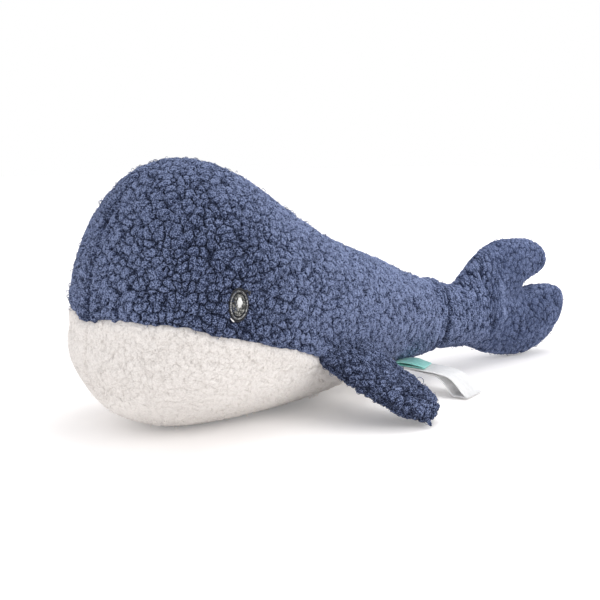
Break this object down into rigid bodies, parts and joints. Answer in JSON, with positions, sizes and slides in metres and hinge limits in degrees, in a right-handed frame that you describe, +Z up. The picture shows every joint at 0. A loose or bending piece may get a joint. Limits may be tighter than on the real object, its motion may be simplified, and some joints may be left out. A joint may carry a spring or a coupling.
{
  "type": "plush whale",
  "caption": "Stuffed soft-toy whale: nubbly fabric panels over fibre filling, white belly, sewn eyes, side flippers, a forked tail that bends at a creased neck, and cloth labels.",
  "frame": {"origin": "centre of the toy's box on the surface that it lies on", "axes": "+X from the tail to the nose, +Y to the whale's left, +Z up"},
  "size_m": [0.35, 0.166, 0.1354],
  "materials": {
    "blue_fabric": "matt nubbly boucle pile",
    "white_fabric": "matt short curly pile",
    "fibre_filling": "loose fibre",
    "dark_thread": "satin embroidery thread",
    "light_thread": "satin embroidery thread",
    "teal_ribbon": "satin woven ribbon",
    "white_ribbon": "satin woven ribbon"
  },
  "bodies": {
    "body": {"back_panel_left": "blue_fabric", "back_panel_right": "blue_fabric", "belly_panel_left": "white_fabric", "belly_panel_right": "white_fabric", "body_filling": "fibre_filling", "eye_left": "dark_thread", "eye_right": "dark_thread", "eye_glint_left": "light_thread", "eye_glint_right": "light_thread"},
    "tail": {"tail_panel_left": "blue_fabric", "tail_panel_right": "blue_fabric", "tail_filling": "fibre_filling"},
    "flipper_left": {"flipper_left_top": "blue_fabric", "flipper_left_under": "blue_fabric", "flipper_left_filling": "fibre_filling"},
    "flipper_right": {"flipper_right_top": "blue_fabric", "flipper_right_under": "blue_fabric", "flipper_right_filling": "fibre_filling"},
    "labels": {"tab_label": "teal_ribbon", "care_label": "white_ribbon"}
  },
  "joints": [
    {"name": "tail_sway", "type": "hinge", "parent": "body", "child": "tail", "pos_m": [-0.041, 0, 0.0385], "axis": [0, 0, 1], "range_deg": [-25, 25], "stiffness_Nm_per_rad": 0.35},
    {"name": "flipper_left_flap", "type": "hinge", "parent": "body", "child": "flipper_left", "pos_m": [0.046, 0.0461, 0.03214], "axis": [0.9623, 0.2578, 0.0872], "range_deg": [-30, 55], "stiffness_Nm_per_rad": 0.12},
    {"name": "flipper_right_flap", "type": "hinge", "parent": "body", "child": "flipper_right", "pos_m": [0.046, -0.0461, 0.03214], "axis": [-0.9623, 0.2578, -0.0872], "range_deg": [-30, 55], "stiffness_Nm_per_rad": 0.12},
    {"name": "label_flap", "type": "hinge", "parent": "body", "child": "labels", "pos_m": [-0.0125, 0.01597, 0.01508], "axis": [0.9063, 0.4226, 0], "range_deg": [-20, 30], "stiffness_Nm_per_rad": 0.01}
  ]
}
